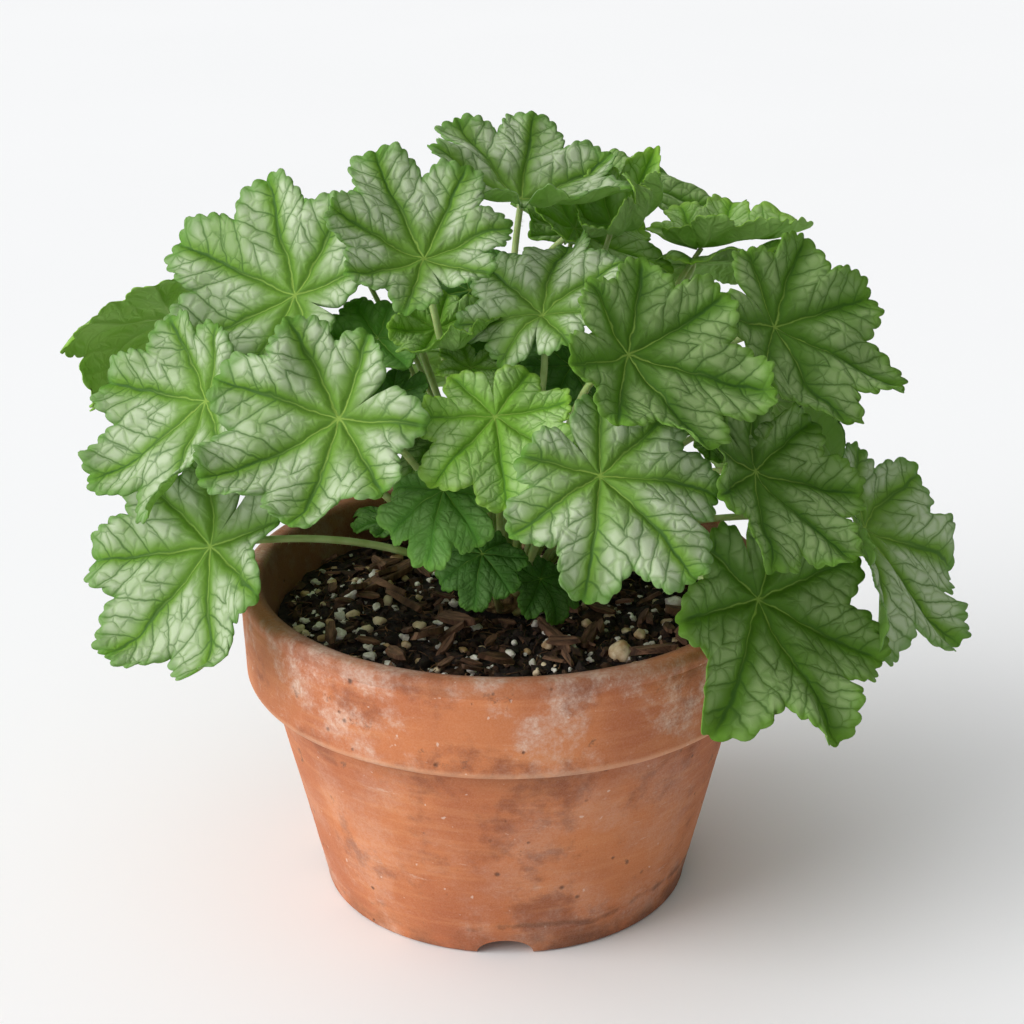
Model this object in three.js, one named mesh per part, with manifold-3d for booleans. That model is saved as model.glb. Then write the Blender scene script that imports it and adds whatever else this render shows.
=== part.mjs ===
// A potted heuchera (coral bells): a terracotta half-pot with three drain notches in its foot,
// potting soil with loose bark chips on it, and a low crown from which every leaf rises on a
// stalk of its own. Millimetres, +Z up. The origin is the centre of the pot's flat underside,
// and the plant's fuller side faces -Y.
import * as THREE from 'three';
import { mergeVertices } from 'three/addons/utils/BufferGeometryUtils.js';
import Module from 'manifold-3d';

// ---- gaps ----
const PIECE_GAP = 0.3; // air between pieces that rest on or grow out of each other

// ---- pot ----
const POT_HEIGHT = 125;
const RIM_RADIUS = 100; // outside of the lip
const BAND_HEIGHT = 38; // the thick collar below the lip
const BAND_TAPER = 1.5; // how much narrower the collar is at its lower edge
const BAND_STEP = 9.5; // from the lip's outside in to the wall where it leaves the collar
const FOOT_SHARE = 0.705; // the foot's radius as a share of the lip's
const WALL = 8;
const FLOOR_THICKNESS = 9;
const EDGE_ROUND = 3; // rounding of the lip and of the collar's lower edge
const POT_FACETS = 48;
const BAND_FOOT_RADIUS = RIM_RADIUS - BAND_TAPER;
const BODY_TOP_RADIUS = RIM_RADIUS - BAND_STEP;
const FOOT_RADIUS = RIM_RADIUS * FOOT_SHARE;
const BAND_FOOT_Z = POT_HEIGHT - BAND_HEIGHT;
const BODY_SLOPE = (BODY_TOP_RADIUS - FOOT_RADIUS) / BAND_FOOT_Z; // radius gained per mm of height

// ---- drain notches ----
const NOTCH_COUNT = 3;
const NOTCH_WIDTH = 20;
const NOTCH_HEIGHT = 6.5; // how far the notch reaches up the wall
const NOTCH_ARCH_SIDES = 8;
const DRAIN_RADIUS = 5; // the hole through the floor above each notch
const DRAIN_FROM_WALL = 1.5; // floor left between that hole and the wall
const DRAIN_SIDES = 16;

// ---- soil, crown and bark ----
const SOIL_BELOW_LIP = 18;
const SOIL_CROWNING = 3; // the soil's middle stands this much above its edge
const SOIL_FACETS = 36;
const CROWN_RADIUS = 14;
const CROWN_SINK = 3; // how far the dome's centre lies below the crown's foot ring
const CHIP_THICKNESS = 3.2;

// ---- leaves ----
const BLADE_THICKNESS = 0.8;
const LOBE_SHARES = [1.0, 0.91, 0.76, 0.58]; // lobe lengths from the middle lobe outwards
const SHOULDER_TURN = 12; // degrees from a lobe's tip to its shoulders
const SHOULDER_SHARE = 0.935;
const NOTCH_SHARE = 0.75; // depth of the gap between two lobes
const SINUS_EDGE = { turn: 168, share: 0.36 }; // inner edge of the two lobes beside the stalk
const OUTER_LOBE_HALF = 27; // degrees from the last main vein to that inner edge
const MAIN_VEIN_STEP = (SINUS_EDGE.turn - OUTER_LOBE_HALF) / (LOBE_SHARES.length - 1); // degrees
const SINUS_SHARE = 0.05; // the blade's edge just behind the stalk
const BLADE_RINGS = 3;
const BEND_STEPS = 8;
const STALK_SIDES = 7;
const STALK_STEPS = 8;

const STALK_RADIUS = 1.35;
const SLIM_STALK_RADIUS = 1.1; // on leaves whose middle lobe is shorter than SLIM_BELOW
const SLIM_BELOW = 32;

// The plant is as large as its pot: a leaf's joint and length, and where a bark chip lies, are in
// hundredths of the lip's radius.
const PLANT_UNIT = RIM_RADIUS / 100;

// Each leaf: the joint where blade and stalk meet (across, back, and above the lip); the compass
// heading its middle lobe points along, its pitch above level and its roll about the middle vein
// (degrees); the length of the middle lobe; how much the blade cups up towards its edge and how
// much the middle lobe droops (degrees); and how far from upright its stalk leaves the crown
// (degrees). swing turns the stalk's foot sideways round the crown, where a neighbour would be in
// its way.
function leaf(joint, [heading, pitch, roll], length, [cup, droop], lean, swing = 0) {
  const place = joint.map((reach) => reach * PLANT_UNIT);
  place[2] += POT_HEIGHT;
  return { joint: place, heading, pitch, roll, length: length * PLANT_UNIT, cup, droop, lean, swing };
}
const LEAVES = {
  top: leaf([6, 18, 138], [90, 0, 12], 52, [66, 8], 6),
  top_left: leaf([-28, -30, 129], [122, 33, -12], 44, [38, 0], 20),
  left_upper: leaf([-76, 3, 106], [142, 8, -48], 54, [30, 0], 34),
  far_left: leaf([-128, 50, 84], [190, -25, 38], 50, [-5, 15], 50),
  left_mid: leaf([-106, -27, 76], [175, -42, -38], 51, [38, 5], 48, 8),
  left_centre: leaf([-56, -60, 81], [-174, -31, -44], 51, [42, 2], 38),
  low_left: leaf([-106, -36, 24], [-162, -50, -27], 56, [36, 8], 50, 24),
  centre_upper: leaf([13, -30, 109], [78, 34, -10], 40, [12, 9], 20),
  right_centre: leaf([42, -55, 102], [6, -22, 37], 50, [40, 0], 36),
  right_upper: leaf([97, -5, 97], [6, -36, 33], 52, [40, 0], 42),
  centre_low: leaf([32, -83, 69], [-38, -34, 26], 46, [23, 14], 46),
  centre_bright: leaf([-3, -60, 82], [-81, -43, 7], 35, [13, 10], 40),
  low_centre_left: leaf([-21, -62, 56], [-108, -28, 0], 27, [-20, 24], 46),
  low_centre: leaf([-8, -50, 27], [-103, -32, -4], 21, [-20, 13], 64),
  low_centre_right: leaf([13, -31, 9], [-58, -37, -3], 18, [4, 12], 70),
  right_mid: leaf([87, -52, 59], [-25, -54, 14], 47, [36, 0], 50, 10),
  far_right: leaf([133, -10, 21], [-24, -60, 0], 55, [40, 9], 56),
  low_right: leaf([89, -62, 15], [-50, -64, 0], 57, [36, 0], 56, -8),
  back_curled: leaf([26, 42, 121], [-5, -30, 15], 38, [45, 10], 24),
  back_right: leaf([45, 104, 121], [8, 0, 0], 44, [-5, 12], 34, 8),
  back_right_light: leaf([72, 60, 103], [2, 10, -28], 42, [-15, 10], 38),
  behind_right: leaf([103, 35, 55], [-10, -40, -30], 48, [0, 15], 50),
  dark_centre: leaf([-13, 20, 103], [158, 25, -20], 34, [0, 12], 16),
  back_left: leaf([-50, 65, 120], [140, 12, 0], 48, [5, 20], 34),
  back_left_low: leaf([-80, 75, 50], [140, -35, 0], 54, [15, 15], 52),
  back_low: leaf([0, 105, 45], [95, -35, 0], 54, [15, 15], 52),
  back_right_low: leaf([68, 95, 33], [50, -45, 0], 54, [15, 15], 56),
};

// Each bark chip: its middle on the soil, its length and width (mm) and its turn (degrees).
const BARK_CHIPS = {
  bark_chip_left: { at: [-47, 24], length: 40, width: 8, turn: 57 },
  bark_chip_front: { at: [18, -30], length: 29, width: 5, turn: -68 },
  bark_chip_right: { at: [31, -30], length: 20, width: 5, turn: 72 },
};

const wasm = await Module();
wasm.setup();

const rad = THREE.MathUtils.degToRad;
const plant = new THREE.Group();

function add(name, geometry, colour, roughness) {
  const material = new THREE.MeshStandardMaterial({ color: colour, roughness, metalness: 0 });
  const mesh = new THREE.Mesh(geometry, material);
  mesh.name = name;
  plant.add(mesh);
  return mesh;
}

// A closed three.js geometry as a manifold solid, and back.
function solidOf(geometry) {
  const bare = geometry.index ? geometry.toNonIndexed() : geometry.clone();
  bare.deleteAttribute('normal');
  bare.deleteAttribute('uv');
  const merged = mergeVertices(bare, 1e-4);
  const mesh = new wasm.Mesh({
    numProp: 3,
    vertProperties: new Float32Array(merged.attributes.position.array),
    triVerts: new Uint32Array(merged.index.array),
  });
  return new wasm.Manifold(mesh);
}

function geometryOf(solid) {
  const mesh = solid.getMesh();
  const geometry = new THREE.BufferGeometry();
  geometry.setAttribute('position', new THREE.BufferAttribute(mesh.vertProperties, 3));
  geometry.setIndex(new THREE.BufferAttribute(mesh.triVerts, 1));
  return geometry;
}

// A solid turned about Z from a profile of (radius, height) points that starts and ends on the
// axis, listed from the bottom up the outside and back down.
function turned(profile, facets) {
  const geometry = new THREE.LatheGeometry(profile, facets);
  geometry.rotateX(Math.PI / 2);
  return geometry;
}

// Points of a quarter turn of a rounded edge.
function roundedEdge(centreX, centreY, radius, fromDegrees, toDegrees, steps = 3) {
  const points = [];
  for (let i = 0; i <= steps; i += 1) {
    const angle = rad(fromDegrees + ((toDegrees - fromDegrees) * i) / steps);
    points.push(new THREE.Vector2(centreX + radius * Math.cos(angle), centreY + radius * Math.sin(angle)));
  }
  return points;
}

// ---- pot ----
const innerRadiusAt = (z) => FOOT_RADIUS + BODY_SLOPE * z - WALL; // the inside is one straight cone
const lipInnerRadius = innerRadiusAt(POT_HEIGHT);

function potBody() {
  const profile = [
    new THREE.Vector2(0, 0),
    new THREE.Vector2(FOOT_RADIUS, 0),
    new THREE.Vector2(BODY_TOP_RADIUS, BAND_FOOT_Z),
    ...roundedEdge(BAND_FOOT_RADIUS - EDGE_ROUND, BAND_FOOT_Z + EDGE_ROUND, EDGE_ROUND, -90, 0),
    ...roundedEdge(RIM_RADIUS - EDGE_ROUND, POT_HEIGHT - EDGE_ROUND, EDGE_ROUND, 0, 90),
    ...roundedEdge(lipInnerRadius + EDGE_ROUND, POT_HEIGHT - EDGE_ROUND, EDGE_ROUND, 90, 180, 2),
    new THREE.Vector2(innerRadiusAt(FLOOR_THICKNESS), FLOOR_THICKNESS),
    new THREE.Vector2(0, FLOOR_THICKNESS),
  ];
  return turned(profile, POT_FACETS);
}

// A drain, lying along +X: an arched notch in from the foot's edge, and the hole that drops into
// its inner end from the pot's floor.
const drainCentre = innerRadiusAt(FLOOR_THICKNESS) - DRAIN_FROM_WALL - DRAIN_RADIUS;
const notchEnd = drainCentre - DRAIN_RADIUS;
const PAST_FACE = 1; // how far a cutter runs past the face it cuts

function drainCutter() {
  const arch = new THREE.Shape();
  arch.moveTo(-NOTCH_WIDTH / 2, -PAST_FACE);
  for (let i = 0; i <= NOTCH_ARCH_SIDES; i += 1) {
    const angle = Math.PI * (1 - i / NOTCH_ARCH_SIDES);
    arch.lineTo((NOTCH_WIDTH / 2) * Math.cos(angle), NOTCH_HEIGHT * Math.sin(angle) ** 0.8);
  }
  arch.lineTo(NOTCH_WIDTH / 2, -PAST_FACE);
  const outerEnd = BODY_TOP_RADIUS + PAST_FACE;
  const notch = new THREE.ExtrudeGeometry(arch, { depth: outerEnd - notchEnd, bevelEnabled: false });
  notch.rotateX(Math.PI / 2);
  notch.rotateZ(Math.PI / 2);
  notch.translate(notchEnd, 0, 0);
  const holeLength = FLOOR_THICKNESS + 2 * PAST_FACE;
  const hole = new THREE.CylinderGeometry(DRAIN_RADIUS, DRAIN_RADIUS, holeLength, DRAIN_SIDES);
  hole.rotateX(Math.PI / 2);
  hole.translate(drainCentre, 0, FLOOR_THICKNESS / 2);
  return solidOf(notch).add(solidOf(hole));
}

let pot = solidOf(potBody());
for (let i = 0; i < NOTCH_COUNT; i += 1) {
  pot = pot.subtract(drainCutter().rotate([0, 0, -90 + (360 * i) / NOTCH_COUNT]));
}
add('pot', geometryOf(pot), 0xb0704a, 0.85);

// ---- soil ----
const soilEdgeZ = POT_HEIGHT - SOIL_BELOW_LIP;
const soilRadiusAt = (z) => innerRadiusAt(z) - PIECE_GAP;
const soilHeightAt = (radius) => soilEdgeZ + SOIL_CROWNING * (1 - (radius / soilRadiusAt(soilEdgeZ)) ** 2);

function soilBody() {
  const bottomZ = FLOOR_THICKNESS + PIECE_GAP;
  const edge = soilRadiusAt(soilEdgeZ);
  const profile = [
    new THREE.Vector2(0, bottomZ),
    new THREE.Vector2(soilRadiusAt(bottomZ), bottomZ),
    new THREE.Vector2(edge, soilEdgeZ),
  ];
  for (const share of [0.8, 0.6, 0.4, 0.2, 0]) {
    profile.push(new THREE.Vector2(edge * share, soilHeightAt(edge * share)));
  }
  return turned(profile, SOIL_FACETS);
}
add('soil', soilBody(), 0x2a1d15, 0.95);

// ---- crown: the knobbly dome that all the stalks grow from ----
const crownFootZ = soilHeightAt(0) + PIECE_GAP;
const crownCentre = new THREE.Vector3(0, 0, crownFootZ - CROWN_SINK);

function crownBody() {
  const footRadius = Math.sqrt(CROWN_RADIUS ** 2 - CROWN_SINK ** 2);
  const startAngle = Math.atan2(CROWN_SINK, footRadius);
  const profile = [new THREE.Vector2(0, CROWN_SINK)];
  const steps = 6;
  for (let i = 0; i <= steps; i += 1) {
    const angle = startAngle + (Math.PI / 2 - startAngle) * (i / steps);
    const radius = i === steps ? 0 : CROWN_RADIUS * Math.cos(angle);
    profile.push(new THREE.Vector2(radius, CROWN_RADIUS * Math.sin(angle)));
  }
  const dome = turned(profile, 24);
  dome.translate(0, 0, crownCentre.z);
  return dome;
}
add('crown', crownBody(), 0x6b5a34, 0.8);

// ---- bark chips ----
function barkChip({ at, length, width, turn }) {
  const outline = new THREE.Shape();
  outline.moveTo(-length / 2, -width * 0.2);
  outline.lineTo(-length * 0.3, -width / 2);
  outline.lineTo(length * 0.35, -width * 0.4);
  outline.lineTo(length / 2, width * 0.1);
  outline.lineTo(length * 0.25, width / 2);
  outline.lineTo(-length * 0.35, width * 0.35);
  const chip = new THREE.ExtrudeGeometry(outline, { depth: CHIP_THICKNESS, bevelEnabled: false });
  // The chip lies on the soil's dome, tilted as the dome is at its middle.
  const [x, y] = at.map((reach) => reach * PLANT_UNIT);
  const radius = Math.hypot(x, y);
  const slope = Math.atan((2 * SOIL_CROWNING * radius) / soilRadiusAt(soilEdgeZ) ** 2);
  const lift = (soilHeightAt(0) - soilHeightAt(length / 2)) + PIECE_GAP;
  chip.rotateZ(rad(turn));
  const along = new THREE.Vector3(-y, x, 0).normalize(); // the level line across the slope
  chip.applyMatrix4(new THREE.Matrix4().makeRotationAxis(along, slope));
  chip.translate(x, y, soilHeightAt(radius) + lift);
  return chip;
}
for (const [name, chip] of Object.entries(BARK_CHIPS)) add(name, barkChip(chip), 0x6a4a33, 0.9);

// ---- leaf blade ----
// The spokes run from the joint to the edge: a lobe's tip, its two shoulders and the notch after
// it, for the seven lobes, and then the sinus behind the stalk.
function bladeSpokes() {
  const spokes = [{ turn: -180, share: SINUS_SHARE }, { turn: -SINUS_EDGE.turn, share: SINUS_EDGE.share }];
  const last = LOBE_SHARES.length - 1;
  for (let lobe = -last; lobe <= last; lobe += 1) {
    const tip = LOBE_SHARES[Math.abs(lobe)];
    const turn = lobe * MAIN_VEIN_STEP;
    spokes.push({ turn: turn - SHOULDER_TURN, share: tip * SHOULDER_SHARE });
    spokes.push({ turn, share: tip });
    spokes.push({ turn: turn + SHOULDER_TURN, share: tip * SHOULDER_SHARE });
    if (lobe < last) {
      const next = LOBE_SHARES[Math.abs(lobe + 1)];
      spokes.push({ turn: turn + MAIN_VEIN_STEP / 2, share: (NOTCH_SHARE * (tip + next)) / 2 });
    }
  }
  spokes.push({ turn: SINUS_EDGE.turn, share: SINUS_EDGE.share });
  return spokes;
}
const SPOKES = bladeSpokes();

// A point of the bent blade, in the leaf's own frame: X along the middle vein, Y to its left and
// Z out of its upper face. along runs from 0 at the joint to 1 at the edge.
function bladePoint(shape, spoke, along) {
  const turn = rad(spoke.turn);
  const reach = spoke.share * along;
  const bend = rad(shape.cup - shape.droop * Math.max(Math.cos(turn), 0) * 2);
  let out = 0;
  let up = 0;
  for (let i = 0; i < BEND_STEPS; i += 1) {
    const slope = bend * reach * ((i + 0.5) / BEND_STEPS);
    out += (Math.cos(slope) * reach) / BEND_STEPS;
    up += (Math.sin(slope) * reach) / BEND_STEPS;
  }
  return new THREE.Vector3(out * Math.cos(turn), out * Math.sin(turn), up).multiplyScalar(shape.length);
}

function bladeFrame(shape) {
  const tipwards = new THREE.Vector3(1, 0, 0)
    .applyAxisAngle(new THREE.Vector3(0, 1, 0), -rad(shape.pitch))
    .applyAxisAngle(new THREE.Vector3(0, 0, 1), rad(shape.heading));
  const level = new THREE.Vector3(-Math.sin(rad(shape.heading)), Math.cos(rad(shape.heading)), 0);
  const leftwards = level.applyAxisAngle(tipwards, rad(shape.roll));
  const upper = new THREE.Vector3().crossVectors(tipwards, leftwards);
  const frame = new THREE.Matrix4().makeBasis(tipwards, leftwards, upper);
  return frame.setPosition(...shape.joint);
}

// A thin closed disc of rings and spokes, each of whose corners is then moved to its place on
// the bent blade.
function bladeBody(shape) {
  const half = BLADE_THICKNESS / 2;
  const profile = [];
  for (let ring = 0; ring <= BLADE_RINGS; ring += 1) profile.push(new THREE.Vector2(ring, -half));
  for (let ring = BLADE_RINGS; ring >= 0; ring -= 1) profile.push(new THREE.Vector2(ring, half));
  const disc = turned(profile, SPOKES.length);
  disc.rotateZ(Math.PI / 2); // a spoke of the disc now lies along +X
  const corners = disc.attributes.position;
  const corner = new THREE.Vector3();
  for (let i = 0; i < corners.count; i += 1) {
    corner.fromBufferAttribute(corners, i);
    const ring = Math.round(Math.hypot(corner.x, corner.y));
    const turns = Math.atan2(corner.y, corner.x) / (2 * Math.PI) + 1;
    const spoke = SPOKES[Math.round(turns * SPOKES.length) % SPOKES.length];
    const face = Math.sign(corner.z) * half;
    const place = bladePoint(shape, spoke, ring / BLADE_RINGS);
    corners.setXYZ(i, place.x, place.y, place.z + face);
  }
  disc.applyMatrix4(bladeFrame(shape));
  return disc;
}

// ---- leaf stalk ----
// It starts square on the crown's dome below its leaf and arches out and up to the blade's
// underside, which it meets a gap short of the joint.
function stalkBody(shape) {
  const radius = shape.length < SLIM_BELOW ? SLIM_STALK_RADIUS : STALK_RADIUS;
  const joint = new THREE.Vector3(...shape.joint);
  const compass = Math.atan2(joint.y - crownCentre.y, joint.x - crownCentre.x) + rad(shape.swing);
  const lean = rad(shape.lean);
  const rootwards = new THREE.Vector3(
    Math.sin(lean) * Math.cos(compass),
    Math.sin(lean) * Math.sin(compass),
    Math.cos(lean),
  );
  const start = crownCentre.clone().addScaledVector(rootwards, CROWN_RADIUS + PIECE_GAP);

  const frame = bladeFrame(shape);
  const tipwards = new THREE.Vector3().setFromMatrixColumn(frame, 0);
  const upper = new THREE.Vector3().setFromMatrixColumn(frame, 2);
  const arriving = upper.clone().multiplyScalar(0.8).addScaledVector(tipwards, 0.6).normalize();
  const capReach = radius * Math.sqrt(1 - arriving.dot(upper) ** 2); // the end face's highest corner
  const end = joint.clone().addScaledVector(upper, -(BLADE_THICKNESS / 2 + PIECE_GAP + capReach));

  const span = start.distanceTo(end);
  const leaving = rootwards.clone().add(new THREE.Vector3(0, 0, 0.35)).normalize();
  const path = new THREE.CubicBezierCurve3(
    start,
    start.clone().addScaledVector(leaving, span * 0.42),
    end.clone().addScaledVector(arriving, -span * 0.22),
    end,
  );
  const section = new THREE.Shape();
  for (let side = 0; side < STALK_SIDES; side += 1) {
    const angle = (2 * Math.PI * side) / STALK_SIDES;
    const point = [radius * Math.cos(angle), radius * Math.sin(angle)];
    if (side === 0) section.moveTo(...point);
    else section.lineTo(...point);
  }
  section.closePath();
  return new THREE.ExtrudeGeometry(section, { steps: STALK_STEPS, extrudePath: path, bevelEnabled: false });
}

for (const [name, shape] of Object.entries(LEAVES)) {
  add(`${name}_blade`, bladeBody(shape), 0x8fb07a, 0.6);
  add(`${name}_stalk`, stalkBody(shape), 0x8aa24f, 0.6);
}

export default plant;
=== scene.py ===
# A potted heuchera: a terracotta half-pot, potting soil with bark, perlite and pebbles, and a low
# crown of silver-veined leaves. Metres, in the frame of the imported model.
import math
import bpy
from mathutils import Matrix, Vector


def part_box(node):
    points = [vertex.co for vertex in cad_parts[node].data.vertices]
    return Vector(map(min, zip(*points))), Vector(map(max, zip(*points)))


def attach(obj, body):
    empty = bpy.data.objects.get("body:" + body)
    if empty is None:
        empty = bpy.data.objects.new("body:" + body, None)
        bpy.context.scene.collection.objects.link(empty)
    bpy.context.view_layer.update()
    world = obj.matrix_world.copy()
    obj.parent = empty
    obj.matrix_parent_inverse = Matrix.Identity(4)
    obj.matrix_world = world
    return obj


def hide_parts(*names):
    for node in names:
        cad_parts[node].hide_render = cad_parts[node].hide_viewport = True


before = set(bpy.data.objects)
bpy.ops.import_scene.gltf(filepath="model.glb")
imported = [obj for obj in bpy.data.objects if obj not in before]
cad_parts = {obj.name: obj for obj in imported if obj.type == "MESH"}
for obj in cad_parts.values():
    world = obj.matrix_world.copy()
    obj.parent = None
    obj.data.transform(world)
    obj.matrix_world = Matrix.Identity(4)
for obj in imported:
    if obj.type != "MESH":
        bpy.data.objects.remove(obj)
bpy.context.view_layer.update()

from types import SimpleNamespace

import bmesh
import bpy
import numpy as np
from mathutils import Matrix, Vector, noise

MM = 0.001
WELD = 0.01 * MM  # corners closer than this are one corner


# ---- sizes ----
POT_LOW, POT_HIGH = (Vector(corner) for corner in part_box("pot"))
POT_HEIGHT = POT_HIGH.z
RIM_RADIUS = POT_HIGH.x
COLLAR_HEIGHT = 38 * MM
COLLAR_TAPER = 1.5 * MM  # how much narrower the collar is at its lower edge
COLLAR_STEP = 9.5 * MM  # from the lip's outside in to the wall below the collar
FOOT_RADIUS = 0.705 * RIM_RADIUS
WALL = 8 * MM
FLOOR_THICKNESS = 9 * MM
EDGE_ROUND = 3 * MM
COLLAR_FOOT = POT_HEIGHT - COLLAR_HEIGHT
GROOVE_BELOW_LIP = 6 * MM
GROOVE_DEPTH = 0.55 * MM
POT_FACETS = 192
NOTCH_COUNT = 3
NOTCH_WIDTH = 21 * MM
NOTCH_HEIGHT = 6.5 * MM
DRAIN_RADIUS = 5 * MM
DRAIN_CENTRE = 57.7 * MM

SOIL_LOW, SOIL_HIGH = (Vector(corner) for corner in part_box("soil"))
SOIL_CROWNING = 3 * MM
SOIL_RADIUS = SOIL_HIGH.x
CROWN_LOW, CROWN_HIGH = (Vector(corner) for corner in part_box("crown"))
CROWN_FOOT = Vector((0, 0, CROWN_LOW.z))

# The leaf's pattern, in shares of its middle lobe's length.
VEIN_STEP = math.radians(47)  # between neighbouring main veins
OUTER_LOBE_HALF = math.radians(27)  # from the last main vein to the inner edge of its lobe
LOBE_SHARES = [1.0, 0.91, 0.76, 0.58]
NOTCH_SHARE = 0.78  # reach of the gap between two lobes
SINUS_EDGE_SHARE = 0.5
SINUS_SHARE = 0.05
LOBE_ROUNDNESS = 2.9
SIDE_SPACING = 0.15  # between the side veins that leave a main vein
SIDE_SLANT = 0.8
FLAT_SPREAD = 0.45  # how much of the leaf's UV square one middle lobe takes

# The grid that each leaf is bent from: columns along its edge, rows from its joint outwards.
BLADE_COLUMNS = 364
BLADE_ROWS = 20
BLADE_THICKNESS = 0.4 * MM
TOOTH_WIDTH = 0.1  # a share of the middle lobe, as is the height
TOOTH_HEIGHT = 0.036
YOUNG_LENGTH = 40 * MM  # shorter leaves than this have fewer, wider teeth
WIDEST_TOOTH = 0.16

SMALL_STALK_RADIUS = 1.0 * MM
HAIRS_PER_STALK = 140
HAIR_THICKNESS = 0.07 * MM

# The room, and the lens of the view.
FLOOR_SIZE = 40
FLOOR_DROP = 0.1 * MM  # keeps the floor clear of the pot's foot
WINDOW_STRENGTH = 2.3
WINDOW_SPREAD = math.radians(45)
WINDOW_DIRECTION = Vector((1.0, 0.38, -0.45))
CAMERA_PLACE = (0.0025, -0.8, 0.468)
CAMERA_TILT = math.radians(68.2)
LENS_LENGTH = 80.9
SENSOR_WIDTH = 36


def rgb(code):
    """A linear colour from an sRGB hex code."""
    values = [int(code[i:i + 2], 16) / 255 for i in (1, 3, 5)]
    return tuple(v / 12.92 if v <= 0.04045 else ((v + 0.055) / 1.055) ** 2.4 for v in values) + (1.0,)


# ---- material helpers ----
def add(tree, kind, inputs=None, **settings):
    """Add a node with its settings; inputs gives a socket a value or another node's output."""
    new = tree.nodes.new("ShaderNode" + kind)
    for name, value in settings.items():
        setattr(new, name, value)
    for socket, value in (inputs or {}).items():
        if isinstance(value, bpy.types.NodeSocket):
            tree.links.new(value, new.inputs[socket])
        else:
            new.inputs[socket].default_value = value
    return new


def math_of(tree, operation, *values, clamp=False):
    inputs = dict(enumerate(values))
    return add(tree, "Math", inputs, operation=operation, use_clamp=clamp).outputs[0]


def blend(tree, share, first, second, mode="MIX"):
    """Two colours, or links to them, mixed by a share or a link to one."""
    inputs = {"Factor": share, 6: first, 7: second}
    return add(tree, "Mix", inputs, data_type="RGBA", blend_type=mode).outputs[2]


def ramp(tree, value, low, high, start=0.0, end=1.0):
    """A smooth step from start to end as value goes from low to high."""
    inputs = {"Value": value, "From Min": low, "From Max": high, "To Min": start, "To Max": end}
    return add(tree, "MapRange", inputs, interpolation_type="SMOOTHSTEP").outputs[0]


def noise_of(tree, place, size, detail=4.0, roughness=0.55):
    """Noise whose lumps are about size across, in the units of place."""
    inputs = {"Vector": place, "Scale": 1 / size, "Detail": detail, "Roughness": roughness}
    return add(tree, "TexNoise", inputs).outputs["Fac"]


def finish(name, roughness, ior=1.45, **more):
    """A new material: its tree, its shader and its output."""
    material = bpy.data.materials.new(name)
    material.use_nodes = True
    tree = material.node_tree
    shader = tree.nodes["Principled BSDF"]
    shader.inputs["Roughness"].default_value = roughness
    shader.inputs["IOR"].default_value = ior
    for socket, value in more.items():
        shader.inputs[socket].default_value = value
    return material, tree, shader


def bump(tree, shader, height, depth, strength=1.0, under=None):
    """Relief of the given depth in metres, on top of another bump where one is given."""
    inputs = {"Height": height, "Distance": depth, "Strength": strength}
    if under is not None:
        inputs["Normal"] = under
    raised = add(tree, "Bump", inputs).outputs[0]
    tree.links.new(raised, shader.inputs["Normal"])
    return raised


def here(tree):
    return add(tree, "TexCoord").outputs["Object"]


def paint(tree, shader, colour):
    tree.links.new(colour, shader.inputs["Base Color"])


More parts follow.
